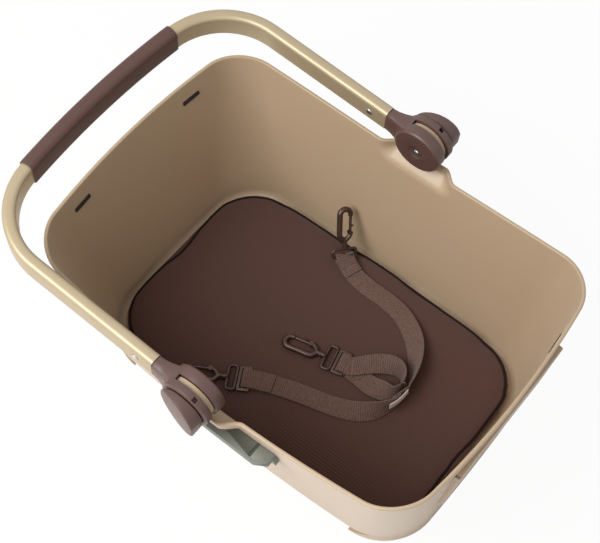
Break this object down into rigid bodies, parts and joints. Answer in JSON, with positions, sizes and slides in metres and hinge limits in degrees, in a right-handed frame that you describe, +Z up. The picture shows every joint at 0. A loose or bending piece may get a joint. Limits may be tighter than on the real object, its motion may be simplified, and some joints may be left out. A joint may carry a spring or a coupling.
{
  "type": "dog bicycle basket",
  "caption": "Moulded tub for carrying a small dog on a bicycle, with a fold-over locking handle, a floor cushion, a side bracket and a webbing lead with snap hooks.",
  "frame": {"origin": "centre of the underside of the tub's floor; the end runners stand 8 mm below it", "axes": "+Z up, +X towards the end wall with the raised pad, -Y towards the side with the bracket"},
  "size_m": [0.4917, 0.3836, 0.2436],
  "materials": {
    "tub_plastic": "satin",
    "hinge_plastic": "satin",
    "bracket_plastic": "satin",
    "tube_aluminium": "anodised satin",
    "grip_rubber": "matt",
    "cushion_fabric": "ribbed cloth",
    "lead_webbing": "woven webbing",
    "tag_cloth": "plain woven tape",
    "hook_metal": "dark bronze plating",
    "fastener_steel": "zinc plated",
    "bush_acetal": "smooth"
  },
  "bodies": {
    "tub": {"tub_shell": "tub_plastic", "cushion": "cushion_fabric", "side_bracket": "bracket_plastic", "bracket_rivet_1": "fastener_steel", "bracket_rivet_2": "fastener_steel", "far_pivot_bush": "bush_acetal", "near_pivot_bush": "bush_acetal", "strap_a": "lead_webbing", "strap_b": "lead_webbing", "strap_c": "lead_webbing", "lead_tag": "tag_cloth", "strap_slider": "hook_metal", "strap_adjuster": "hook_metal", "strap_loop_bar": "hook_metal", "hook_body_1": "hook_metal", "hook_body_2": "hook_metal", "hook_body_3": "hook_metal"},
    "handle": {"handle_tube": "tube_aluminium", "handle_grip": "grip_rubber", "far_hinge_fork": "hinge_plastic", "near_hinge_fork": "hinge_plastic", "far_arm_rivet": "fastener_steel", "near_arm_rivet": "fastener_steel", "far_pivot_bolt": "fastener_steel", "near_pivot_bolt": "fastener_steel", "far_pivot_nut": "fastener_steel", "near_pivot_nut": "fastener_steel", "far_lever_pin": "fastener_steel", "near_lever_pin": "fastener_steel", "far_lever_spring": "fastener_steel", "near_lever_spring": "fastener_steel"},
    "far_lever": {"far_release_lever": "hinge_plastic"},
    "near_lever": {"near_release_lever": "hinge_plastic"},
    "far_plunger": {"far_lock_plunger": "fastener_steel"},
    "near_plunger": {"near_lock_plunger": "fastener_steel"},
    "gate_1": {"hook_gate_1": "hook_metal"},
    "gate_2": {"hook_gate_2": "hook_metal"},
    "gate_3": {"hook_gate_3": "hook_metal"}
  },
  "joints": [
    {"name": "handle_fold", "type": "hinge", "parent": "tub", "child": "handle", "pos_m": [0.004, 0, 0.197], "axis": [0, 1, 0], "range_deg": [0, 169.8]},
    {"name": "far_lever_open", "type": "hinge", "parent": "handle", "child": "far_lever", "pos_m": [-0.00696, 0.1738, 0.19798], "axis": [0.0889, 0, 0.996], "range_deg": [0, 6], "stiffness_Nm_per_rad": 0.5, "springref_deg": -5.73, "deforming": ["far_lever_spring"]},
    {"name": "near_lever_open", "type": "hinge", "parent": "handle", "child": "near_lever", "pos_m": [-0.00696, -0.1738, 0.19798], "axis": [-0.0889, 0, -0.996], "range_deg": [0, 6], "stiffness_Nm_per_rad": 0.5, "springref_deg": -5.73, "deforming": ["near_lever_spring"]},
    {"name": "far_plunger_lift", "type": "slide", "parent": "handle", "child": "far_plunger", "axis": [0, 1, 0], "range_m": [0, 0.003]},
    {"name": "near_plunger_lift", "type": "slide", "parent": "handle", "child": "near_plunger", "axis": [0, -1, 0], "range_m": [0, 0.003]},
    {"name": "gate_1_open", "type": "hinge", "parent": "tub", "child": "gate_1", "pos_m": [-0.04431, 0.11399, 0.04705], "axis": [0.7631, -0.3522, 0.5418], "range_deg": [0, 25], "stiffness_Nm_per_rad": 0.02, "springref_deg": -11.46},
    {"name": "gate_2_open", "type": "hinge", "parent": "tub", "child": "gate_2", "pos_m": [-0.00112, -0.00396, 0.0265], "axis": [0, 0, 1], "range_deg": [0, 25], "stiffness_Nm_per_rad": 0.02, "springref_deg": -11.46},
    {"name": "gate_3_open", "type": "hinge", "parent": "tub", "child": "gate_3", "pos_m": [-0.06431, -0.08699, 0.0242], "axis": [0, 0, 1], "range_deg": [0, 25], "stiffness_Nm_per_rad": 0.02, "springref_deg": -11.46}
  ],
  "couplings": [
    {"joint": "far_plunger_lift", "follows": "far_lever_open", "m_per_rad": 0.028},
    {"joint": "near_plunger_lift", "follows": "near_lever_open", "m_per_rad": 0.028}
  ]
}
